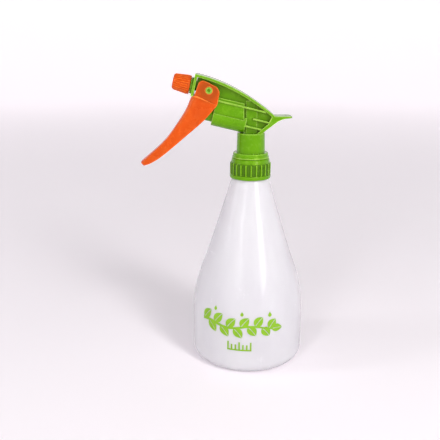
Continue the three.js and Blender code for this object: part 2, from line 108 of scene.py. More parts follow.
# The head's frame lies on the pump's axis, with +X to the rear. In the pump's and the discharge
# tube's frames +Z points forward, towards the nozzle.
HEAD = Matrix.Translation((0, 0, PUMP_Z)) @ Matrix.Rotation(TILT, 4, "Y")
FORWARD = Matrix.Rotation(-pi / 2, 4, "Y")
PUMP = HEAD @ FORWARD
DISCHARGE = HEAD @ Matrix.Translation((0, 0, DISCHARGE_UP)) @ FORWARD
IDENTITY = Matrix.Identity(4)

# ---- curves and outlines


def smooth(points, count):
    """Points along a Catmull-Rom curve through a few points."""
    result = []
    last = len(points) - 1
    for i in range(count + 1):
        place = i / count * last
        k = min(int(place), last - 1)
        t = place - k
        p1, p2 = points[k], points[k + 1]
        p0 = points[k - 1] if k > 0 else p1
        p3 = points[k + 2] if k + 2 <= last else p2
        result.append(tuple(
            0.5 * (2 * b + (c - a) * t + (2 * a - 5 * b + 4 * c - d) * t * t
                   + (3 * b - a - 3 * c + d) * t * t * t)
            for a, b, c, d in zip(p0, p1, p2, p3)
        ))
    return result


def looked_up(table, at):
    """The value at a place in rows of (place, value) in rising order, level past the last."""
    for (a, low), (b, high) in zip(table, table[1:]):
        if at <= b:
            return low + (high - low) * (at - a) / (b - a)
    return table[-1][1]


def along(line, t):
    """The point a share t along a polyline of evenly spaced points."""
    place = min(max(t, 0), 1) * (len(line) - 1)
    k = min(int(place), len(line) - 2)
    return tuple(a + (b - a) * (place - k) for a, b in zip(line[k], line[k + 1]))


def evenly(start, end, count):
    """Evenly spaced points from start to end."""
    return [tuple(a + (b - a) * k / count for a, b in zip(start, end)) for k in range(count + 1)]


def arc(centre, radius, start, end, count):
    """Points of an arc between two angles in degrees."""
    angles = [(start + (end - start) * i / count) * DEG for i in range(count + 1)]
    return [(centre[0] + radius * cos(a), centre[1] + radius * sin(a)) for a in angles]


def beside(line, distance):
    """The same line moved sideways, to the right of its direction."""
    result = []
    for i, (x, z) in enumerate(line):
        x0, z0 = line[max(i - 1, 0)]
        x1, z1 = line[min(i + 1, len(line) - 1)]
        length = hypot(x1 - x0, z1 - z0)
        result.append((x + (z1 - z0) / length * distance, z - (x1 - x0) / length * distance))
    return result


def area(outline):
    """Signed area, positive for a counter-clockwise outline."""
    return sum(
        a[0] * b[1] - b[0] * a[1] for a, b in zip(outline, outline[1:] + outline[:1])
    ) / 2


def fillet(outline, radius, least_turn=18):
    """The outline with each corner that turns by more than least_turn degrees rounded."""
    most_of_side, pull, points = 0.45, 0.42, 5
    result = []
    count = len(outline)
    for i, here in enumerate(outline):
        p = Vector(here)
        before, after = Vector(outline[i - 1]) - p, Vector(outline[(i + 1) % count]) - p
        turn = pi - before.angle(after)
        if turn < least_turn * DEG:
            result.append(here)
            continue
        back = min(
            radius * tan(turn / 2), most_of_side * before.length, most_of_side * after.length
        )
        start, end = p + before.normalized() * back, p + after.normalized() * back
        curve = interpolate_bezier(
            start.to_3d(), p.lerp(start, pull).to_3d(), p.lerp(end, pull).to_3d(), end.to_3d(),
            points,
        )
        result += [(c.x, c.y) for c in curve]
    return result


def inset(outline, distance):
    """A counter-clockwise outline moved inwards by a small distance."""
    least_slope = 0.4  # keeps the mitre of a very sharp corner short
    result = []
    count = len(outline)
    for i, here in enumerate(outline):
        a = (Vector(here) - Vector(outline[i - 1])).normalized()
        b = (Vector(outline[(i + 1) % count]) - Vector(here)).normalized()
        inward = Vector((-a.y - b.y, a.x + b.x))
        length = inward.length
        if length < TINY:
            result.append(here)
            continue
        inward /= length
        mitre = distance / max(inward.dot(Vector((-a.y, a.x))), least_slope)
        result.append((here[0] + inward.x * mitre, here[1] + inward.y * mitre))
    return result


# ---- solids


def build(vertices, faces, matrix=IDENTITY):
    """A closed mesh with its faces pointing out."""
    same_point = 1e-5
    mesh = bpy.data.meshes.new("solid")
    mesh.from_pydata([tuple(matrix @ Vector(v)) for v in vertices], [], faces)
    work = bmesh.new()
    work.from_mesh(mesh)
    bmesh.ops.remove_doubles(work, verts=work.verts, dist=same_point)
    bmesh.ops.recalc_face_normals(work, faces=work.faces)
    work.to_mesh(mesh)
    work.free()
    return mesh


def loft(rings, matrix=IDENTITY):
    """A solid through rings of points, with flat ends."""
    count = len(rings[0])
    last = (len(rings) - 1) * count
    vertices = [tuple(p) for ring in rings for p in ring]
    faces = []
    for a in range(0, last, count):
        for k in range(count):
            n = (k + 1) % count
            faces.append((a + k, a + n, a + count + n, a + count + k))
    faces.append(tuple(range(count)))
    faces.append(tuple(range(last, last + count)))
    return build(vertices, faces, matrix)


def lathe(profile, segments=64, matrix=IDENTITY, shape=None):
    """A solid of revolution about Z from [radius, height] points, closed through the axis if it
    starts and ends there. shape(angle, radius, height) may return another radius."""
    vertices, rows = [], []
    for r, z in profile:
        if r < TINY:
            rows.append([len(vertices)])
            vertices.append((0, 0, z))
            continue
        rows.append(list(range(len(vertices), len(vertices) + segments)))
        for k in range(segments):
            angle = TAU * k / segments
            radius = shape(angle, r, z) if shape else r
            vertices.append((radius * cos(angle), radius * sin(angle), z))
    faces = []
    for a, b in zip(rows, rows[1:] + rows[:1]):
        for k in range(segments):
            n = (k + 1) % segments
            if len(a) == 1 and len(b) == 1:
                break
            if len(a) == 1:
                faces.append((a[0], b[n], b[k]))
            elif len(b) == 1:
                faces.append((a[k], a[n], b[0]))
            else:
                faces.append((a[k], a[n], b[n], b[k]))
    return build(vertices, faces, matrix)


def rim_levels(low, high, bevel, steps=2):
    """Inset and height of each ring of a prism with rounded rims."""
    turns = [i / steps * pi / 2 for i in range(steps + 1)]
    start = [(bevel * (1 - sin(a)), low + bevel * (1 - cos(a))) for a in turns]
    return start + [(d, low + high - z) for d, z in reversed(start)]


def prism(outline, low, high, bevel=0.3, matrix=IDENTITY, steps=2):
    """An upright prism with rounded rims."""
    outline = outline if area(outline) > 0 else outline[::-1]
    if bevel <= 0:
        rings = [[(x, y, z) for x, y in outline] for z in (low, high)]
    else:
        rings = [
            [(x, y, z) for x, y in inset(outline, d)]
            for d, z in rim_levels(low, high, bevel, steps)
        ]
    return loft(rings, matrix)


# Turns a prism on its side: its outline is in x and z, and it runs along y.
SIDEWAYS = Matrix(((1, 0, 0, 0), (0, 0, 1, 0), (0, 1, 0, 0), (0, 0, 0, 1)))


def plate(outline, near, far, bevel=0.3, matrix=IDENTITY, steps=2):
    """A prism on its side: an outline in x and z, from near to far in y."""
    return prism(outline, near, far, bevel, matrix @ SIDEWAYS, steps)


def box_outline(low_x, high_x, low_z, high_z):
    return [(low_x, low_z), (high_x, low_z), (high_x, high_z), (low_x, high_z)]


def rod(radius, low, high, segments=64, matrix=IDENTITY, bevel=0.0):
    """A round rod about Z, with or without bevelled ends."""
    profile = [(0, low), (radius - bevel, low), (radius, low + bevel),
               (radius, high - bevel), (radius - bevel, high), (0, high)]
    return lathe(profile if bevel else profile[:2] + profile[4:], segments, matrix)


def thread(radius, height, width, pitch, turns, start_z, matrix=IDENTITY):
    """A screw thread's ridge, sunk into its wall; it runs out to nothing at both ends."""
    run_out = 0.12  # turns
    sunk = -copysign(0.3, height)
    crest = 0.35 * width
    steps = round(turns * 48)
    rings = []
    for i in range(steps + 1):
        t = i / steps
        fade = min(1, t * turns / run_out, (1 - t) * turns / run_out)
        angle, z = t * turns * TAU, start_z + t * turns * pitch
        tip = radius + height * fade
        foot = radius + sunk
        section = [(foot, z - width / 2), (tip, z - crest / 2), (tip, z + crest / 2),
                   (foot, z + width / 2)]
        rings.append([(r * cos(angle), r * sin(angle), h) for r, h in section])
    return loft(rings, matrix)


def coil(radius, wire, low, high, turns, matrix=IDENTITY):
    """A round wire coil about Z, with three quarters of a turn nearly flat at each end. wire is
    the wire's radius."""
    sides, end_rise = 10, 0.03
    low, high = low + wire, high - wire
    rings = []
    steps = turns * 36
    flat = 0.75 / turns
    for i in range(steps + 1):
        t = i / steps
        angle = t * turns * TAU
        rise = min(max((t - flat) / (1 - 2 * flat), 0), 1)
        z = low + (high - low) * (end_rise * t + (1 - end_rise) * rise)
        rings.append([
            (
                (radius + wire * cos(s)) * cos(angle),
                (radius + wire * cos(s)) * sin(angle),
                z + wire * sin(s),
            )
            for s in (TAU * k / sides for k in range(sides))
        ])
    return loft(rings, matrix)


def add_object(name, data):
    """A new object in the scene."""
    obj = bpy.data.objects.new(name, data)
    bpy.context.scene.collection.objects.link(obj)
    return obj


def combine(base, add=(), cut=(), keep=()):
    """Joins meshes to a base, keeps only what lies in others, and cuts others away."""
    main = add_object("main", base)
    tools = []
    for operation, meshes in (("UNION", add), ("INTERSECT", keep), ("DIFFERENCE", cut)):
        for mesh in meshes:
            tools.append(add_object("tool", mesh))
            modifier = main.modifiers.new("combine", "BOOLEAN")
            modifier.operation = operation
            modifier.solver = "MANIFOLD"
            modifier.object = tools[-1]
    bpy.context.view_layer.update()
    depsgraph = bpy.context.evaluated_depsgraph_get()
    result = bpy.data.meshes.new_from_object(main.evaluated_get(depsgraph))
    for each in [main, *tools]:
        bpy.data.objects.remove(each)
    return result


# ---- materials


def srgb(red, green, blue):
    """Linear colour from 0-255 display values."""
    return tuple(
        c / 255 / 12.92 if c <= 10 else ((c / 255 + 0.055) / 1.055) ** 2.4
        for c in (red, green, blue)
    ) + (1.0,)


class Nodes:
    """A material's node tree, made by short calls."""

    def __init__(self, name):
        self.material = bpy.data.materials.new(name)
        self.material.use_nodes = True
        self.tree = self.material.node_tree
        self.tree.nodes.clear()
        output = self.add("OutputMaterial")
        self.shader = self.add("BsdfPrincipled")
        self.feed(output, {0: self.shader.outputs[0]})
        self.place = self.add("TexCoord").outputs["Object"]

    def add(self, kind):
        return self.tree.nodes.new("ShaderNode" + kind)

    def feed(self, node, values):
        """Links each value to the node's input if it is a socket, or else sets it there."""
        for key, value in values.items():
            if isinstance(value, bpy.types.NodeSocket):
                self.tree.links.new(value, node.inputs[key])
            else:
                node.inputs[key].default_value = value

    def noise(self, scale, detail=3, roughness=0.5, stretch=(1, 1, 1)):
        """Noise in the object's own space; scale is in features per metre."""
        mapping = self.add("Mapping")
        self.feed(mapping, {"Scale": stretch, "Vector": self.place})
        texture = self.add("TexNoise")
        self.feed(texture, {"Scale": scale, "Detail": detail, "Roughness": roughness,
                            "Vector": mapping.outputs[0]})
        return texture.outputs[0]

    def distance(self, centre, axes):
        """Distance in metres from a point, or from a line where an axis is left out with 0."""
        flat = self.add("VectorMath")
        flat.operation = "MULTIPLY"
        self.feed(flat, {0: self.place, 1: axes})
        away = self.add("VectorMath")
        away.operation = "DISTANCE"
        self.feed(away, {0: flat.outputs[0], 1: centre})
        return away.outputs["Value"]

    def openness(self, reach, inside):
        """How open the space is round a point: outside it falls in recesses, inside at edges."""
        node = self.add("AmbientOcclusion")
        node.samples = 6
        node.only_local = True
        node.inside = inside
        self.feed(node, {"Distance": reach})
        return node.outputs["AO"]

    def spread(self, value, low, high, to_low=0.0, to_high=1.0):
        """Maps low to high onto to_low to to_high, and holds the value at both ends."""
        node = self.add("MapRange")
        self.feed(node, {"From Min": low, "From Max": high, "To Min": to_low, "To Max": to_high,
                         "Value": value})
        return node.outputs[0]

    def mix(self, factor, first, second):
        """A colour from first to second. Inputs 0, 6 and 7 are the factor and the colours."""
        node = self.add("Mix")
        node.data_type = "RGBA"
        self.feed(node, {6: first, 7: second, 0: factor})
        return node.outputs[2]

    def math(self, operation, first, second):
        node = self.add("Math")
        node.operation = operation
        self.feed(node, {0: first, 1: second})
        return node.outputs[0]

    def bump(self, height, distance, strength=1.0, under=None):
        """A normal from a height in metres, on top of another normal if there is one."""
        node = self.add("Bump")
        self.feed(node, {"Strength": strength, "Distance": distance, "Height": height})
        if under:
            self.feed(node, {"Normal": under})
        return node.outputs[0]

    def finish(self, color, roughness, normal=None, **settings):
        """Feeds the shader's own sockets; a setting's name has _ for each space."""
        self.feed(self.shader, {"Base Color": color, "Roughness": roughness})
        if normal:
            self.feed(self.shader, {"Normal": normal})
        self.feed(self.shader, {name.replace("_", " "): v for name, v in settings.items()})
        return self.material


def moulded(name, base, deep, pale, roughness, grain=2600, recess_shade=0.35, region_shade=None, **settings):
    """Injection-moulded plastic: soft flow marks, a fine grain, pale edges that are partly wear
    and partly a painted highlight, hairline scuffs, and painted shade in its recesses.
    An optional function of the nodes and the colour may paint shade on a region of its own."""
    edge_reach, recess_reach = 0.0008, 0.003
    n = Nodes(name)
    flow = n.spread(n.noise(55, 3, 0.55, (1, 1, 0.45)), 0.35, 0.68)
    color = n.mix(flow, base, deep)
    blush = n.spread(n.noise(190, 4, 0.6), 0.52, 0.78, 0, 0.13)
    color = n.mix(blush, color, pale)
    # Painted shade on a region of the part, where a function for it is given.
    if region_shade:
        color = region_shade(n, color)
    # Pale edges: partly wear, partly a painted highlight where the light catches them.
    edge = n.spread(n.openness(edge_reach, True), 0.66, 0.95, 0.95, 0)
    edge_sheen_and_wear = n.math("MULTIPLY", edge, n.spread(n.noise(420, 3), 0.3, 0.7, 0.55, 1))
    color = n.mix(edge_sheen_and_wear, color, pale)
    # Painted shade: a darker colour where the surface lies in a recess.
    shade = n.spread(n.openness(recess_reach, False), 0.35, 0.95, recess_shade, 0)
    color = n.mix(shade, color, tuple(0.3 * c for c in deep[:3]) + (1.0,))
    scuffs = n.spread(n.noise(900, 5, 0.7, (1, 0.12, 1)), 0.56, 0.72, 0, 1)
    smudge = n.spread(n.noise(75, 4, 0.65), 0.3, 0.7, roughness - 0.05, roughness + 0.09)
    rough = n.math("ADD", smudge, n.math("MULTIPLY", scuffs, 0.07))
    fine = n.bump(n.noise(grain, 2, 0.5), 0.00003, 0.55)
    waves = n.bump(n.noise(130, 2, 0.4), 0.00016, 0.35, fine)
    scratched = n.bump(scuffs, 0.000015, 0.4, waves)
    return n.finish(color, rough, scratched, **settings)


def milky(name):
    """Blow-moulded natural polyethylene: cloudy, soft to the light, with a faint haze of scuffs."""
    n = Nodes(name)
    cloud = n.spread(n.noise(28, 4, 0.55, (1, 1, 0.4)), 0.3, 0.72)
    color = n.mix(cloud, srgb(234, 233, 237), srgb(226, 224, 230))
    specks = n.spread(n.noise(1500, 2, 0.5), 0.66, 0.8, 0, 0.1)
    color = n.mix(specks, color, srgb(214, 211, 219))
    streaks = n.spread(n.noise(650, 5, 0.7, (1, 1, 0.07)), 0.5, 0.75, 0, 1)
    smudge = n.spread(n.noise(60, 4, 0.6), 0.3, 0.7, 0.2, 0.27)
    rough = n.math("ADD", smudge, n.math("MULTIPLY", streaks, 0.03))
    soft = n.bump(n.noise(38, 2, 0.4, (1, 1, 0.5)), 0.0006, 0.35)
    skin = n.bump(n.noise(2100, 2, 0.5), 0.00003, 0.4, soft)
    return n.finish(
        color, rough, skin, Alpha=0.7, IOR=1.5, Subsurface_Weight=0.5,
        Subsurface_Radius=(1.0, 0.95, 1.0), Subsurface_Scale=0.006, Specular_IOR_Level=0.5,
    )


def printed(name, base, deep):
    """Screen-printed ink: nearly flat, with pinholes and a slightly uneven film."""
    n = Nodes(name)
    film = n.spread(n.noise(160, 4, 0.6), 0.35, 0.7)
    color = n.mix(film, base, deep)
    pinholes = n.spread(n.noise(3000, 2, 0.5), 0.7, 0.78, 0, 0.35)
    color = n.mix(pinholes, color, srgb(226, 236, 200))
    rough = n.spread(n.noise(240, 3), 0.3, 0.7, 0.36, 0.5)
    return n.finish(color, rough, n.bump(n.noise(1800, 2), 0.00002, 0.5))


def drawn_wire(name):
    """Steel wire with the fine marks of its die."""
    n = Nodes(name)
    mottle = n.spread(n.noise(500, 4, 0.6), 0.35, 0.7)
    color = n.mix(mottle, srgb(196, 198, 202), srgb(150, 153, 158))
    rough = n.spread(n.noise(900, 3, 0.6), 0.3, 0.7, 0.22, 0.36)
    return n.finish(color, rough, n.bump(n.noise(4000, 2), 0.00001, 0.5), Metallic=1.0)


def clear(name, tint, haze, roughness, alpha):
    """See-through plastic or glass with a faint haze."""
    n = Nodes(name)
    color = n.mix(n.spread(n.noise(180, 3), 0.3, 0.7), tint, haze)
    rough = n.spread(n.noise(300, 3), 0.3, 0.7, roughness, roughness + 0.08)
    return n.finish(color, rough, n.bump(n.noise(1500, 2), 0.00002, 0.4), Alpha=alpha, IOR=1.5)


GLOSS = {"Specular_IOR_Level": 0.45, "Coat_Weight": 0.1, "Coat_Roughness": 0.1}
GREEN_GLOSS = {**GLOSS, "Specular_Tint": (0.9, 1.0, 0.2, 1.0)}
ORANGE_GLOSS = {**GLOSS, "Specular_Tint": (1.0, 0.75, 0.25, 1.0)}


def shaded_flutes(n, color):
    """Painted shade: a darker green in the collar's flutes, between its ribs."""
    middle = 0.1581
    from_axis = n.distance((0, 0, 0), (1, 1, 0))
    from_middle = n.distance((0, 0, middle), (0, 0, 1))
    between = n.spread(from_axis, 0.0155, 0.01595, 0.85, 0)
    beside_ribs = n.spread(from_middle, 0.0043, 0.0048, 1, 0)
    return n.mix(n.math("MULTIPLY", between, beside_ribs), color, srgb(44, 92, 0))


def shaded_ears(n, color):
    """Painted shade: a browner orange round the trigger's pivot, on its ears."""
    pivot = (HEAD @ Vector((PIVOT[0], 0, PIVOT[1]))) * MM
    near = n.spread(n.distance(pivot, (1, 0, 1)), 0.0055, 0.0105, 0.62, 0)
    return n.mix(near, color, srgb(132, 56, 6))


GREEN = moulded(
    "green_polypropylene", srgb(88, 147, 0), srgb(78, 137, 0), srgb(184, 222, 100), 0.22,
    **GREEN_GLOSS,
)
# The collar's copy of the green: a slightly darker base as painted shade, with painted shade in its
# flutes and recesses.
COLLAR_GREEN_SHADED = moulded(
    "green_polypropylene_collar", srgb(86, 143, 0), srgb(76, 133, 0), srgb(132, 184, 36), 0.24,
    recess_shade=0.6, region_shade=shaded_flutes, **GREEN_GLOSS,
)
ORANGE = moulded(
    "orange_polypropylene", srgb(200, 66, 0), srgb(190, 58, 0), srgb(240, 122, 40), 0.24,
    **ORANGE_GLOSS,
)
# The lever's copy of the orange, with painted shade round the pivot.
LEVER_ORANGE_SHADED = moulded(
    "orange_polypropylene_lever", srgb(202, 70, 0), srgb(192, 62, 0), srgb(246, 136, 60), 0.24,
    region_shade=shaded_ears, **ORANGE_GLOSS,
)
WHITE = moulded(
    "white_polyethylene", srgb(240, 240, 235), srgb(228, 228, 222), srgb(250, 250, 248), 0.42
)
FOAM = moulded(
    "gasket_foam", srgb(214, 214, 208), srgb(196, 196, 190), srgb(232, 232, 228), 0.8, grain=900
)
MILKY = milky("milky_polyethylene")
PRINT = printed("green_print", srgb(132, 180, 0), srgb(120, 168, 0))
STEEL = drawn_wire("spring_steel")
TUBE = clear("clear_tube", srgb(236, 236, 240), srgb(222, 222, 228), 0.28, 0.72)
GLASS = clear("valve_glass", srgb(222, 234, 234), srgb(206, 222, 222), 0.06, 0.55)


def piece(name, mesh, body, material, node=None, sharp=38):
    """Puts a mesh on a body, in metres, with smooth shading that keeps its true edges."""
    mesh.transform(Matrix.Scale(MM, 4))
    mesh.name = name
    mesh.materials.clear()
    mesh.materials.append(material)
    mesh.shade_smooth()
    mesh.set_sharp_from_angle(angle=sharp * DEG)
    obj = add_object(name, mesh)
    weighted = obj.modifiers.new("weighted", "WEIGHTED_NORMAL")
    weighted.keep_sharp = True
    weighted.weight = 80
    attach(obj, body)
    if node:
        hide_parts(node)
    return obj


# ---- bottle

SHOULDER = smooth(
    [(BASE_R, 40), (43.7, 54), (39.7, 71.5), (33, 90.5), (25.5, 114), (18, 138), (14.6, 149.6)], 40
)
BOTTLE_SIDE = [(0, BASE_R)] + [(z, r) for r, z in SHOULDER]


def bottle_radius(z):
    """Outer radius at a height above the base's corner."""
    return looked_up(BOTTLE_SIDE, z)


def make_bottle():
    """The blown shell, pushed up inside its foot, with its neck and the neck's thread."""
    line_proud, line_half, line_end = 0.14, 0.5, 149
    corner = (BASE_R - BASE_CORNER_R, BASE_CORNER_R)
    outside = [(0, PUSH_UP), (20, PUSH_UP), (28.6, PUSH_UP), (29.4, 0.68), (31.2, 0.12), (32, 0),
               (34, 0)]
    outside += arc(corner, BASE_CORNER_R, -90, 0, 14)
    outside += [(BASE_R, z) for z in (12, 16, 22, 28, 34)] + SHOULDER
    outside += [(13.4, 150.4), (12.7, 150.9), (NECK_ROOT_R, 151.6), (NECK_ROOT_R, 160.7),
                (12.35, 161.05), (12, RIM_Z)]
    inside = [(NECK_BORE_R + 0.3, RIM_Z), (NECK_BORE_R, 160.9), (NECK_BORE_R, NECK_START_Z - 0.4)]
    inside += [(r - WALL, z - 0.4) for r, z in SHOULDER[::-1]]
    inside += [(BASE_R - WALL, z) for z in (32, 24, 16)]
    inside += arc(corner, BASE_CORNER_R - WALL, 0, -90, 10)
    inside += [(31.6, WALL), (28.6, PUSH_UP + WALL), (0, PUSH_UP + WALL)]

    def parting(angle, radius, z):
        """A faint parting line down both sides, where the mould's halves met."""
        off = min(abs(angle), abs(angle - pi), abs(angle - TAU)) * radius
        outer = BASE_CORNER_R < z < line_end and radius > bottle_radius(z) - WALL / 3
        return radius + (line_proud * max(0, 1 - off / line_half) if outer else 0)

    body = lathe(outside + inside, 288, shape=parting)
    ridge = thread(NECK_ROOT_R, 1.2, 1.9, NECK_PITCH, 1.3, NECK_THREAD_Z)
    return combine(body, add=[ridge])


# ---- print on the bottle

PRINT_LIFT = 0.13
PRINT_SUNK = 0.1
PRINT_TURN = -100.9  # degrees round the bottle, to the middle of the print
TANGENT_STEP = 0.01
LEAST_HALF = 0.03
LEAF_GAP = 0.22  # half of the bare rib between a leaf's halves


def on_bottle(across, z, lift):
    """A point of the print: across is the distance round the bottle from the print's middle."""
    angle = PRINT_TURN * DEG + across / BASE_R
    radius = bottle_radius(z) + lift
    return (radius * cos(angle), radius * sin(angle), z)


def patch(centre, half_width, count, columns=4):
    """A film of ink along a centre line, with its own half width at each step."""
    top, bottom = [], []
    for i in range(count + 1):
        t = i / count
        x, z = centre(t)
        x1, z1 = centre(min(t + TANGENT_STEP, 1))
        x0, z0 = centre(max(t - TANGENT_STEP, 0))
        length = hypot(x1 - x0, z1 - z0)
        side = (-(z1 - z0) / length, (x1 - x0) / length)
        half = max(half_width(t), LEAST_HALF)
        shares = [2 * k / columns - 1 for k in range(columns + 1)]
        row = [(x + side[0] * half * share, z + side[1] * half * share) for share in shares]
        top.append([on_bottle(s, h, PRINT_LIFT) for s, h in row])
        bottom.append([on_bottle(s, h, -PRINT_SUNK) for s, h in row])
    return loft([t + b[::-1] for t, b in zip(top, bottom)])


def merge(meshes):
    """Several separate closed meshes as one."""
    work = bmesh.new()
    for mesh in meshes:
        work.from_mesh(mesh)
    result = bpy.data.meshes.new("merged")
    work.to_mesh(result)
    work.free()
    return result


def line_between(start, end, bow=0.0):
    """A centre line from start to end, bowed to its left."""
    dx, dz = end[0] - start[0], end[1] - start[1]

    def at(t):
        out = bow * 4 * t * (1 - t)
        return (start[0] + dx * t - dz * out, start[1] + dz * t + dx * out)

    return at


def leaf(foot, length, direction, width):
    """Two halves of a leaf with a bare rib between them."""
    angle = direction * DEG
    tip = (foot[0] + length * cos(angle), foot[1] + length * sin(angle))
    rib = line_between(foot, tip, bow=0.04)

    def half(t):
        return 0.25 * width * sin(pi * t ** 0.8)

    halves = []
    for side in (-1, 1):
        def centre(t, side=side):
            x, z = rib(t)
            out = side * (LEAF_GAP + half(t))
            return (x - sin(angle) * out, z + cos(angle) * out)

        halves.append(patch(centre, half, 14))
    return halves


def drop(middle, size):
    """A drop, round below and pointed above; profile is its half width from the bottom up."""
    low, high = middle[1] - size, middle[1] + 1.2 * size
    profile = [0.05, 0.62, 0.83, 0.93, 0.97, 0.93, 0.82, 0.66, 0.48, 0.31, 0.17, 0.05]
    points = [(share,) for share in profile]
    line = line_between((middle[0], low), (middle[0], high))
    return patch(line, lambda t: size * 0.8 * along(points, t)[0], 22, 6)


def make_print():
    """A generic sprig of leaves with water drops, and a row of level ticks below it."""
    leaves, lean, leaf_width = 11, 50, 6.8
    ticks, tick_gap, tick_foot, long_tick, short_tick = 7, 3, 22.2, 6.4, 4.2
    base_line = 21.8

    def stem_line(t):
        return (-33 + 60 * t, 41.5 + 1.3 * sin(1.6 * TAU * t + 0.6) - t)

    shapes = [patch(stem_line, lambda t: 1.15 * (1 - 0.5 * t), 90)]
    for k in range(leaves):
        x, z = stem_line(0.02 + 0.093 * k)
        up = 1 if k % 2 == 0 else -1
        shapes += leaf((x, z + 0.4 * up), 10.8 - 0.2 * k, lean * up, leaf_width)
    shapes += leaf(stem_line(0.99), 9.0, -4, 6.0)
    shapes += [drop((-20.6, 53.4), 1.7), drop((2.2, 51.8), 1.7), drop((24.6, 51), 1.9)]
    for k in range(ticks):
        height = long_tick if k % 3 == 0 else short_tick
        x = -8.5 + tick_gap * k
        tick = line_between((x, tick_foot), (x, tick_foot + height))
        shapes.append(patch(tick, lambda t: 0.62, 8, 2))
    shapes.append(patch(line_between((-9.2, base_line), (10.2, base_line)), lambda t: 0.6, 24, 2))
    return merge(shapes)


# ---- screw collar and neck stack


def ease(t):
    """From 0 to 1, level at both ends."""
    return t * t * (3 - 2 * t)


def from_ridge(angle, count):
    """How far an angle is from the nearest of count ridges, from 0 on it to 0.5 between two."""
    return abs((angle / TAU * count + 0.5) % 1 - 0.5)


def collar_shape(angle, radius, z):
    """Narrow ribs on a plain wall, sloping off at their tops."""
    height, half_width, flank, slope, least = 0.85, 0.86, 0.42, 0.8, 0.25
    if not RIBS_LOW < z < RIBS_HIGH + 0.1 or radius < COLLAR_WALL_R - 0.15:
        return radius
    off = from_ridge(angle, COLLAR_RIBS) * TAU / COLLAR_RIBS * 16
    rise = max(0, min(1, (half_width - off) / flank))
    top = min(1, max(0, (RIBS_HIGH - z) / slope))
    return radius + height * ease(rise) * min(1, least + top)


def make_collar():
    """The closure: a rolled lower edge, a ribbed wall, a shoulder, and a threaded bore."""
    wall = [(COLLAR_WALL_R, 153.6)]
    wall += [(COLLAR_WALL_R, 153.9 + 8.3 * k / 12) for k in range(13)]
    wall += [(15.12, 162.65)]
    outside = [(0, 150.4), (15.55, 150.4), (15.85, 150.48), (16.05, 150.75), (16.1, 151.1),
               (16.1, 152.7), (16.0, 153.05), (15.75, 153.3), (15.3, 153.42)]
    shoulder = [(15.0, 162.85), (14.95, 163.1), (14.75, 165.1), (14.6, 165.5), (14.3, 165.85),
                (13.9, 166), (0, 166)]
    body = lathe(outside + wall + shoulder, 576, shape=collar_shape)
    bore = rod(COLLAR_BORE_R, 149, 164.45, 128)
    hole = rod(11.6, 160, 168, 96)
    ridge = thread(COLLAR_BORE_R, -1.1, 1.9, NECK_PITCH, 1.8, NECK_THREAD_Z - NECK_PITCH / 2)
    return combine(combine(body, cut=[bore, hole]), add=[ridge])


def make_valve_insert():
    """The dip tube's socket, the flange that traps the collar, and the inlet ball's seat."""
    return lathe([
        (2.6, 155), (3.6, 155), (3.8, 155.2), (3.8, FLANGE_LOW), (12.4, FLANGE_LOW), (12.6, 163.1),
        (12.6, 163.9), (12.4, FLANGE_HIGH), (8.6, FLANGE_HIGH), (8.6, 170.9), (8.3, PLUG_TOP_Z),
        (7.2, PLUG_TOP_Z), (7.2, SEAT_Z), (3.9, SEAT_Z), (3.9, PLUG_TOP_Z), (2.4, PLUG_TOP_Z),
        (2.4, SEAT_Z), (1.4, SEAT_Z), (1.4, 164.3), (2.6, 164.3),
    ], 64)


def make_dip_tube():
    """A plain tube whose lower end is cut to a vee."""
    tube = lathe([(1.5, 8), (2.3, 8), (2.3, 164), (1.5, 164)], 40)
    vee = plate([(-4, 7), (4, 7), (0, 11)], -4, 4, 0)
    return combine(tube, cut=[vee])


def ball(radius, matrix):
    """A ball about the frame's origin."""
    angles = [pi * (k / 24 - 0.5) for k in range(25)]
    return lathe([(radius * cos(a), radius * sin(a)) for a in angles], 40, matrix)


# ---- head


def to_head(points):
    """Points in x and z, from the object's frame to the head's."""
    back = HEAD.inverted()
    moved = [back @ Vector((x, 0, z)) for x, z in points]
    return [(p.x, p.z) for p in moved]


# The band's upper edge, a quadratic curve in the head's frame.
TOP_LINE = [
    ((1 - t) ** 2 * FRONT_PLATE_X + 2 * t * (1 - t) * -17.5 + t * t * 17,
     (1 - t) ** 2 * FRONT_PLATE_TOP + 2 * t * (1 - t) * 28.2 + t * t * 10.2)
    for t in (k / 48 for k in range(49))
]


def plan_half(x):
    """The band's half width in plan: full at the front, narrower to the rounded tail."""
    end, corner = 28.9, 4.0
    stations = [(-60, BAND_HALF), (-28, BAND_HALF), (8, 8.3), (16, TAIL_HALF), (40, TAIL_HALF)]
    half = looked_up(stations, x)
    past = min(max(x - (end - corner), 0), corner)
    return half - corner + sqrt(corner * corner - past * past)


def ribbon(upper, lower, edge):
    """A wide strip between two lines of points in x and z, as wide as the plan at each point, with
    rounded edges. Its flats are split lengthwise, so that every face stays nearly flat."""
    splits = (3, 6)  # how far in from the strip's side
    quarter = [k * pi / 8 for k in range(5)]
    rings = []
    for (x0, z0), (x1, z1) in zip(upper, lower):
        depth = dist((x0, z0), (x1, z1))
        r = min(edge, 0.45 * depth)
        side = [(0, split) for split in reversed(splits)]
        side += [(r * (1 - cos(a)), r * (1 - sin(a))) for a in quarter]
        side += [(depth - r + r * sin(a), r * (1 - cos(a))) for a in quarter]
        side += [(depth, split) for split in splits]
        ring = []
        for across in (1, -1):
            for u, short in side[::across]:
                x, z = x0 + (x1 - x0) * u / depth, z0 + (z1 - z0) * u / depth
                ring.append((x, across * (plan_half(x) - short), z))
        rings.append(ring)
    return loft(rings, HEAD)


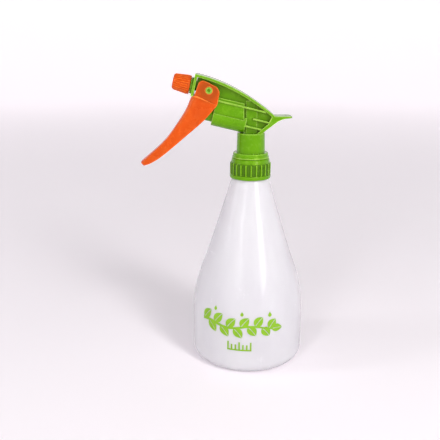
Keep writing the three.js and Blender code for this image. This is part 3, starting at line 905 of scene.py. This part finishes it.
def band_pieces():
    """The band over the head, its front plate, and in the object's frame the tail for the hand to
    rest on and the rear wall below it."""
    inner_x = FRONT_PLATE_X + BAND_T
    end_x, end_z, end_r = 30.2, 197.95, 0.75
    front_up = evenly((FRONT_PLATE_X, FRONT_PLATE_LOW), (FRONT_PLATE_X, FRONT_PLATE_TOP), 10)
    front_down = evenly((inner_x, FRONT_PLATE_LOW), (inner_x, 26.5), 10)
    rear = to_head(evenly((16.6, 196.6), (3, 184.6), 14))
    tail_up = evenly((15.4, 198.7), (end_x, 198.7), 24)
    tail_down = smooth([(9.8, 187.2), (12.6, 189.1), (16.4, 192), (20.4, 194.9), (25, 196.7),
                        (end_x, 197.2)], 24)
    for k in range(1, 6):
        a = k * pi / 10.5
        tail_up.append((end_x + end_r * sin(a), end_z + end_r * cos(a)))
        tail_down.append((end_x + end_r * sin(a), end_z - end_r * cos(a)))
    return [
        ribbon(TOP_LINE, beside(TOP_LINE, BAND_T), 0.45),
        ribbon(front_up, front_down, 0.45),
        ribbon(to_head(tail_up), to_head(tail_down), 0.5),
        ribbon(rear, beside(rear, -2.8), 0.5),
    ]


def rib_pieces():
    """The ribs across the web: the long one over the pump, and two that end at the rear wall."""
    half_width, thickness = 7.8, 1.3

    def rear_edge(z):
        return 5.7 + (z + 4.3) * 0.72 + 1

    spans = [(-CYLINDER_FRONT, 8, 11.5), (0, rear_edge(4.4), 4.4), (-5.5, rear_edge(-2.1), -2.1)]
    return [
        plate(box_outline(a, b, z, z + thickness), -half_width, half_width, 0.3, HEAD, 3)
        for a, b, z in spans
    ]


def web_piece():
    """The solid web behind the ribs, under the band."""
    roof = [p for p in beside(TOP_LINE, 1) if -48.5 < p[0] < 15.5]
    outline = [(-48.5, 17), *roof, (15.6, 9), (6.6, -4), (0, -7), (-8, -7), (-8, 1), (-29.8, 1),
               (-29.8, 17)]
    return plate(outline, -WEB_HALF, WEB_HALF, 0, HEAD)


def cylinder_pieces():
    """The pump's cylinder is a full round below and narrows to the block above its ledges."""
    def half_round(ledge, corner):
        angle = asin(ledge / CYLINDER_R)
        start, end = pi / 2 - angle, TAU - pi / 2 + angle
        points = [
            (CYLINDER_R * cos(a), CYLINDER_R * sin(a))
            for a in (start + (end - start) * k / 56 for k in range(57))
        ]
        return fillet(points, corner, 30)

    block = [(-CYLINDER_FRONT, -4), (-CYLINDER_FRONT, 14.6), (-9.3, 14.6), (-5.2, -4)]
    return [
        prism(half_round(2.4, 0.5), CYLINDER_REAR, CYLINDER_FRONT, 0.4, PUMP, 3),
        prism(half_round(4.4, 0.6), CYLINDER_REAR, CYLINDER_REAR + 2.1, 0.35, PUMP, 3),
        plate(fillet(block, 0.5), -6.4, 6.4, 0.35, HEAD, 3),
    ]


# Stands a shape turned about Z on its side, along y through the trigger's pivot.
PIVOT_FRAME = (
    HEAD @ Matrix.Translation((PIVOT[0], 0, PIVOT[1])) @ Matrix.Rotation(pi / 2, 4, "X")
)


def pivot_pieces():
    """The dished stubs that carry the trigger's ears, and the boss between them."""
    stub = [(0, -9.4), (0.7, -9.4), (1.05, -9.6), (1.2, -10.2), (1.35, -10.4), (2.1, -10.4),
            (2.35, -10.3), (2.4, -10.0)]
    stub += [(r, -z) for r, z in reversed(stub)]
    return [
        lathe(stub, 48, PIVOT_FRAME),
        rod(3.8, -8, 8, 48, PIVOT_FRAME, 0.2),
    ]


def stem_piece():
    """The hollow stem with its base ring, which stands on the collar."""
    return lathe([
        (8.9, 164.4), (11.1, 164.4), (11.2, 164.5), (11.2, 166.3), (14.1, 166.3), (14.3, 166.45),
        (14.35, 166.8), (14.25, 167.25), (13.95, 167.6), (13.82, 168), (13.75, 169.5),
        (13.6, 169.95), (13.3, 170.25), (12.9, 170.35), (11.5, 170.35), (11.2, 170.45),
        (11.08, 170.8), (10.8, 184.8), (10.65, 185.25), (10.3, 185.5), (0, 185.5), (0, 183.9),
        (8.9, 183.9),
    ], 128)


def liquid_tubes():
    """The feed column and the discharge tube meet inside the head, under the band. The column is
    round inside the stem and has flat faces above it."""
    column_r, column_half_x, column_top = 4.65, 4.4, 210
    under = beside(TOP_LINE, 0.6) + [(17, -30), (FRONT_PLATE_X, -30)]
    section = fillet(box_outline(-column_half_x, column_half_x, -column_r, column_r), 0.5)
    column = prism(section, 185, column_top, 0)
    tubes = combine(
        rod(column_r, 171.5, column_top, 64), add=[column, rod(3.3, 4, 50, 56, DISCHARGE)]
    )
    return combine(tubes, keep=[plate(under, -12, 12, 0, HEAD)])


def make_head():
    """The head's one moulding, joined from its parts and then bored for the pump and the liquid."""
    first, *others = band_pieces()
    spigot = [
        rod(6.2, 49.5, 52, 64, DISCHARGE, 0.3),
        rod(SPIGOT_R, 50, SPIGOT_END, 48, DISCHARGE, 0.2),
    ]
    solid = combine(
        first,
        add=[*others, web_piece(), *rib_pieces(), *cylinder_pieces(), *pivot_pieces(),
             stem_piece(), liquid_tubes(), *spigot],
    )
    solid = combine(solid, add=[thread(SPIGOT_R, 0.6, 1.1, NOZZLE_PITCH, 2, 55, DISCHARGE)])
    return combine(solid, cut=[
        rod(1.5, 170.5, 209.8, 24),
        rod(5.6, 7, CYLINDER_FRONT + 1, 48, PUMP),
        rod(1.2, 0.5, 8, 20, PUMP),
        rod(1, 4.5, 10, 20, DISCHARGE),
        rod(1.75, 9, SPIGOT_END + 1, 24, DISCHARGE),
        rod(2.6, 57, SPIGOT_END + 1, 32, DISCHARGE),
        plate(box_outline(-3, 3, 170.5, 172.5), -0.5, 0.5, 0),
        plate(box_outline(-0.5, 0.5, 170.5, 172.5), -3, 3, 0),
    ])


# ---- pump parts


def make_plunger():
    """Hollow for the spring, with a seat for the piston cup and a nose for the trigger."""
    return lathe([
        (3.6, 16.8), (4.3, 16.8), (4.5, 17), (4.5, 21.2), (5.2, 21.2), (5.2, 42.4), (5.05, 42.9),
        (4.75, 43.2), (3.2, 43.2), (3.05, 43.35), (3, 46.4), (2.85, 47), (2.4, 47.6), (1.7, 48.05),
        (0.8, 48.26), (0, 48.3), (0, 40), (3.6, 40),
    ], 64, PUMP)


def make_piston_cup():
    """A seal with a lip at each end."""
    return lathe([
        (4.8, 17.2), (5.25, 16.8), (5.38, 16.95), (5.4, 17.2), (5.1, 18.4), (5.1, 19.4),
        (5.4, 20.4), (5.38, 20.65), (5.25, 20.8), (4.8, 20.6),
    ], 64, PUMP)


def make_swirl_core():
    """A pin through the discharge tube whose end has crossed grooves that spin the spray."""
    core = lathe([
        (0, 17.6), (1, 17.6), (1.2, 18), (1.2, 57.4), (2.3, 57.4), (2.3, 61), (2, 61.3), (0, 61.3),
    ], 40, DISCHARGE)
    groove = [(-3, 0.5), (3, 0.5), (3, 1.1), (-3, 1.1)]
    turns = [DISCHARGE @ Matrix.Rotation(a, 4, "Z") for a in (0, pi / 2)]
    return combine(core, cut=[prism(groove, 60.6, 62, 0, m) for m in turns])


def cap_shape(angle, radius, z):
    """Long fine ridges down the cap's side, fading at both ends."""
    height, half_width, flank, fade = 0.055, 0.62, 0.4, 0.8  # height is a share of the radius
    if radius < 5:
        return radius
    wave = from_ridge(angle, CAP_RIDGES) * 2
    rise = max(0, min(1, (half_width - wave) / flank))
    ends = max(0, min(1, (z - CAP_BACK - 1.1) / fade, (CAP_FRONT - 0.6 - z) / fade))
    return radius * (1 + height * ease(rise) * ends)


def make_nozzle_cap():
    """The adjustable nozzle: its profile is measured from the cap's back."""
    side = [(0, 0), (6.7, 0), (6.95, 0.12), (7.12, 0.5), (7.12, 1.0), (7.0, 1.3)]
    side += [(6.98 - 1.16 * k / 14, 1.5 + 10.6 * k / 14) for k in range(15)]
    side += [(5.72, 12.5), (5.5, 12.9), (5.15, 13.25), (4.7, 13.4), (0, 13.4)]
    body = lathe([(r, CAP_BACK + z) for r, z in side], 384, DISCHARGE, cap_shape)
    orifice = [(0, 62), (0.5, 62), (0.5, 64.5), (2.4, 65.8), (0, 65.8)]
    bore = rod(CAP_BORE_R, CAP_BACK - 1, 63.1, 64, DISCHARGE)
    bored = combine(body, cut=[bore, lathe(orifice, 40, DISCHARGE)])
    return combine(bored, add=[
        thread(CAP_BORE_R, -0.6, 1.1, NOZZLE_PITCH, 2.4, 55 - NOZZLE_PITCH / 2, DISCHARGE)
    ])


# ---- trigger

# In the head's frame, in x and z; LEVER_SIDE gives the half width at each height.
LEVER_FRONT = [(-49.4, 10.6), (-51.6, -1), (-56.3, -13.5), (-63, -28), (-76.4, -47.4)]
LEVER_REAR = [(-29.2, 8.8), (-36, -4.2), (-46.4, -18.8), (-60.4, -37.6), (-68, -45.8), (-73, -49.3)]
LEVER_SIDE = [(-52, 6.4), (-36, 7.4), (-16, 9.2), (2, 10.4), (12, 10.4)]
STEP_LINE = [(-49.3, 10.7), (-48.3, 11.0), (-47.3, 12.3), (-44, 12.1), (-38, 10.7), (-33.5, 9.8),
             (-29.2, 9.3)]


def lever_ring(path, half, corner, shrink=0.0, bulge=0.35):
    """One section of the lever: across it in y, and from its front to its rear along a path. Its
    front corners are rounded by corner, and its front stands proud by bulge in the middle."""
    depth = dist(path(0), path(1))
    half -= shrink
    corner = min(corner, half * 0.8, depth * 0.7)
    small = min(0.5, depth * 0.15)
    near = [(depth, 0.0), (depth, half - small)]
    near += [
        (depth - small * (1 - cos(a)), half - small * (1 - sin(a)))
        for a in (pi / 8, pi / 4, 3 * pi / 8, pi / 2)
    ]
    near += [(corner + (depth - small - corner) * k / 4, half) for k in (3, 2, 1)]
    near += [
        (corner * (1 - sin(a)), half - corner * (1 - cos(a)))
        for a in (pi / 2 * k / 9 for k in range(10))
    ]
    flat = half - corner
    near += [(-bulge * (1 - (k / 3) ** 2), flat * k / 3) for k in (2, 1, 0)]
    points = [(u, -y) for u, y in near] + [(u, y) for u, y in near[-2:0:-1]]
    return [(x, y, z) for (x, z), y in ((path(u / depth), y) for u, y in points)]


def span(a, b, reach=1, lift=0):
    """A path from one point towards another, and past it where reach is over 1."""
    return lambda u: (a[0] + (b[0] - a[0]) * u * reach, a[1] + (b[1] - a[1]) * u * reach + lift)


def lever_solid():
    """The whole lever, from the step below the ears to the rounded tip."""
    front_corner, tip_corner = 5.2, 2.4
    front, rear = smooth(LEVER_FRONT, 60), smooth(LEVER_REAR, 60)
    rings = []
    step = smooth(STEP_LINE, 40)
    for drop_by, shrink in ((0, 0.45), (0.13, 0.13), (0.45, 0)):
        def top(u, drop_by=drop_by):
            x, z = along(step, u)
            return (x, z - drop_by)

        rings.append(lever_ring(top, looked_up(LEVER_SIDE, 11), front_corner, shrink, 0.0))
    steps = 44
    for i in range(1, steps + 1):
        t = i / steps
        path = span(along(front, t), along(rear, t))
        corner = front_corner - 2.6 * min(1, t * 1.3)
        rings.append(lever_ring(path, looked_up(LEVER_SIDE, path(0.3)[1]), corner))
    end = span(front[-1], rear[-1])
    for forward, shrink in ((0.55, 0.35), (0.95, 1.1), (1.1, 2.0)):
        def tip(u, forward=forward, shrink=shrink):
            x, z = end(0.5 + (u - 0.5) * (1 - 0.26 * shrink))
            return (x - 0.5 * forward, z - 0.86 * forward)

        rings.append(lever_ring(tip, looked_up(LEVER_SIDE, -50), tip_corner, shrink))
    return loft(rings, HEAD)


def lever_channel():
    """The hollow behind the lever, open to the rear and above."""
    front, rear = smooth(LEVER_FRONT, 60), smooth(LEVER_REAR, 60)
    inner = beside(front, -LEVER_WALL)
    side_wall = 2.1
    rings = []
    steps = 36
    for i in range(-4, steps + 1):
        t = 0.95 * max(i, 0) / steps
        path = span(along(inner, t), along(rear, t), 1.5, 4.0 * max(-i, 0))
        share = max(0, min(1, (t - 0.8) / 0.15))
        half = looked_up(LEVER_SIDE, path(0)[1]) - side_wall - 1.4 * share
        rings.append(lever_ring(path, half, 2.4 - 0.8 * t, 0, 0.3))
    return loft(rings, HEAD)


def make_trigger():
    """The lever with its hollow and its two ears, bored for the pivot."""
    ear = [(-47.8, 8), (-47, 16), (-46.6, 20), *arc((-42.9, 20.6), 3.6, 170, 80, 10)]
    ear += [(-39.4, 23.8), *arc((-35.4, 16.4), 6.2, 68, 0, 14), (-29, 10), (-29.6, 7)]
    ears = [
        plate(ear, side[0], side[1], 0.4, HEAD, 3)
        for side in ((EAR_INNER, EAR_OUTER), (-EAR_OUTER, -EAR_INNER))
    ]
    lever = combine(lever_solid(), cut=[lever_channel()])
    return combine(combine(lever, add=ears), cut=[rod(2.6, -12, 12, 48, PIVOT_FRAME)])


# ---- pieces

piece("bottle_shell", make_bottle(), "bottle", MILKY, "bottle")
piece("leaf_print", make_print(), "bottle", PRINT)
piece("collar", make_collar(), "collar", COLLAR_GREEN_SHADED, "screw_collar", 30)
gasket = lathe([(9.2, 161.5), (12.45, 161.5), (12.6, 161.65), (12.6, 162.45), (12.45, 162.6),
                (9.2, 162.6)])
piece("gasket", gasket, "head", FOAM, "neck_gasket")
piece("valve_plug", make_valve_insert(), "head", WHITE, "valve_insert")
piece("suction_tube", make_dip_tube(), "head", TUBE, "dip_tube")
piece("head_shell", make_head(), "head", GREEN, "head_body", 30)
piece("lever", make_trigger(), "trigger", LEVER_ORANGE_SHADED, "trigger", 30)
piece("pump_plunger", make_plunger(), "plunger", GREEN, "plunger")
piece("plunger_seal", make_piston_cup(), "plunger", WHITE, "piston_cup")
spring = piece("pump_spring", coil(2.75, 0.4, 7.3, 39.7, 8, PUMP), "head", STEEL,
               "return_spring")
valve_spring = piece("valve_spring", coil(1.2, 0.2, 12.1, 17.3, 5, DISCHARGE), "head", STEEL,
                     "outlet_spring")
inlet_ball = ball(INLET_BALL_R, Matrix.Translation((0, 0, INLET_BALL_Z)))
piece("inlet_valve_ball", inlet_ball, "inlet_ball", GLASS, "inlet_ball")
outlet_ball = ball(OUTLET_BALL_R, DISCHARGE @ Matrix.Translation((0, 0, OUTLET_BALL_AT)))
piece("outlet_valve_ball", outlet_ball, "outlet_ball", GLASS, "outlet_ball")
piece("swirl_insert", make_swirl_core(), "head", WHITE, "swirl_core")
washer = lathe([(1.2, 61.8), (4.35, 61.8), (4.5, 61.95), (4.5, 62.65), (4.35, 62.8), (1.2, 62.8)],
               64, DISCHARGE)
piece("nozzle_washer", washer, "nozzle_seal", WHITE, "nozzle_seal")
piece("nozzle", make_nozzle_cap(), "nozzle_cap", ORANGE, "nozzle_cap", 30)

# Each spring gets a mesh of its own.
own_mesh(spring)
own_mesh(valve_spring)

# ---- studio

LIGHT_TARGET = Vector((-0.01, 0, 0.12))
FOCAL_PIXELS = 620
IMAGE_PIXELS = 440
SENSOR_MM = 36
CAMERA_AT = (-0.0236, -0.480, 0.25546)
CAMERA_DOWN = 16.36  # degrees
CAMERA_ROLL = 0.4


def backdrop():
    """A pale floor that rises into a backdrop all round, in metres. Its paper glows a little, more
    so further away, which evens out the light on it."""
    floor_r, bend_r, top, segments = 2.0, 0.9, 1.3, 96
    profile = [(0.0, 0.0), (0.5, 0.0), (1.2, 0.0), (floor_r, 0.0)]
    profile += [
        (floor_r + bend_r * sin(a), bend_r - bend_r * cos(a))
        for a in (k * pi / 24 for k in range(1, 13))
    ]
    profile += [(floor_r + bend_r, top)]
    vertices = [(0, 0, 0)]
    vertices += [
        (r * cos(TAU * k / segments), r * sin(TAU * k / segments), z)
        for r, z in profile[1:] for k in range(segments)
    ]
    faces = [(0, 1 + k, 1 + (k + 1) % segments) for k in range(segments)]
    for i in range(len(profile) - 2):
        a, b = 1 + i * segments, 1 + (i + 1) * segments
        faces += [
            (a + k, b + k, b + (k + 1) % segments, a + (k + 1) % segments) for k in range(segments)
        ]
    mesh = bpy.data.meshes.new("backdrop")
    mesh.from_pydata(vertices, [], faces)
    mesh.shade_smooth()
    n = Nodes("studio_paper")
    paper = srgb(246, 241, 245)
    color = n.mix(n.spread(n.noise(3, 2), 0.35, 0.65), paper, srgb(244, 239, 243))
    glow = n.spread(n.distance((0, 0, 0), (1, 1, 1)), 0.2, 2.2, 0.07, 0.5)
    rough = n.spread(n.noise(40, 2), 0.3, 0.7, 0.8, 0.9)
    mesh.materials.append(n.finish(color, rough, Emission_Color=paper, Emission_Strength=glow))
    obj = add_object("studio_floor", mesh)


def area_light(name, azimuth, elevation, distance, size, power, color=(1, 1, 1)):
    """A soft box that faces the bottle, in metres, degrees and watts; azimuth 0 is on the
    camera's side."""
    light = bpy.data.lights.new(name, "AREA")
    light.shape = "RECTANGLE"
    light.size, light.size_y = size
    light.energy = power
    light.color = color
    obj = add_object(name, light)
    a, e = azimuth * DEG, elevation * DEG
    way = Vector((sin(a) * cos(e), -cos(a) * cos(e), sin(e)))
    obj.location = LIGHT_TARGET + distance * way
    obj.rotation_euler = (LIGHT_TARGET - obj.location).to_track_quat("-Z", "Y").to_euler()


backdrop()
area_light("key", 36, 30, 1.15, (0.24, 0.95), 8.6, (1.0, 0.99, 0.98))
area_light("strip", -27, 30, 1.3, (0.22, 0.9), 3.2)
area_light("front", -4, 22, 2.2, (2.2, 1.6), 3.6, (0.99, 0.99, 1.0))
area_light("left", -80, 30, 1.4, (0.24, 0.9), 3.4, (0.98, 0.98, 1.0))
area_light("top", 20, 82, 2.2, (2.4, 2.4), 5.0)
area_light("back", 165, 35, 1.6, (1.2, 0.8), 0.8)

scene = bpy.context.scene
world = bpy.data.worlds.new("studio")
world.use_nodes = True
sky = world.node_tree.nodes["Background"]
sky.inputs["Color"].default_value = (1.0, 0.985, 1.0, 1)
sky.inputs["Strength"].default_value = 0.24
scene.world = world
scene.view_settings.view_transform = "Standard"

camera_data = bpy.data.cameras.new("camera")
camera_data.sensor_width = SENSOR_MM
camera_data.lens = FOCAL_PIXELS / IMAGE_PIXELS * SENSOR_MM
camera = add_object("camera", camera_data)
camera.matrix_world = (
    Matrix.Translation(CAMERA_AT)
    @ Matrix.Rotation((90 - CAMERA_DOWN) * DEG, 4, "X")
    @ Matrix.Rotation(CAMERA_ROLL * DEG, 4, "Z")
)
scene.camera = camera
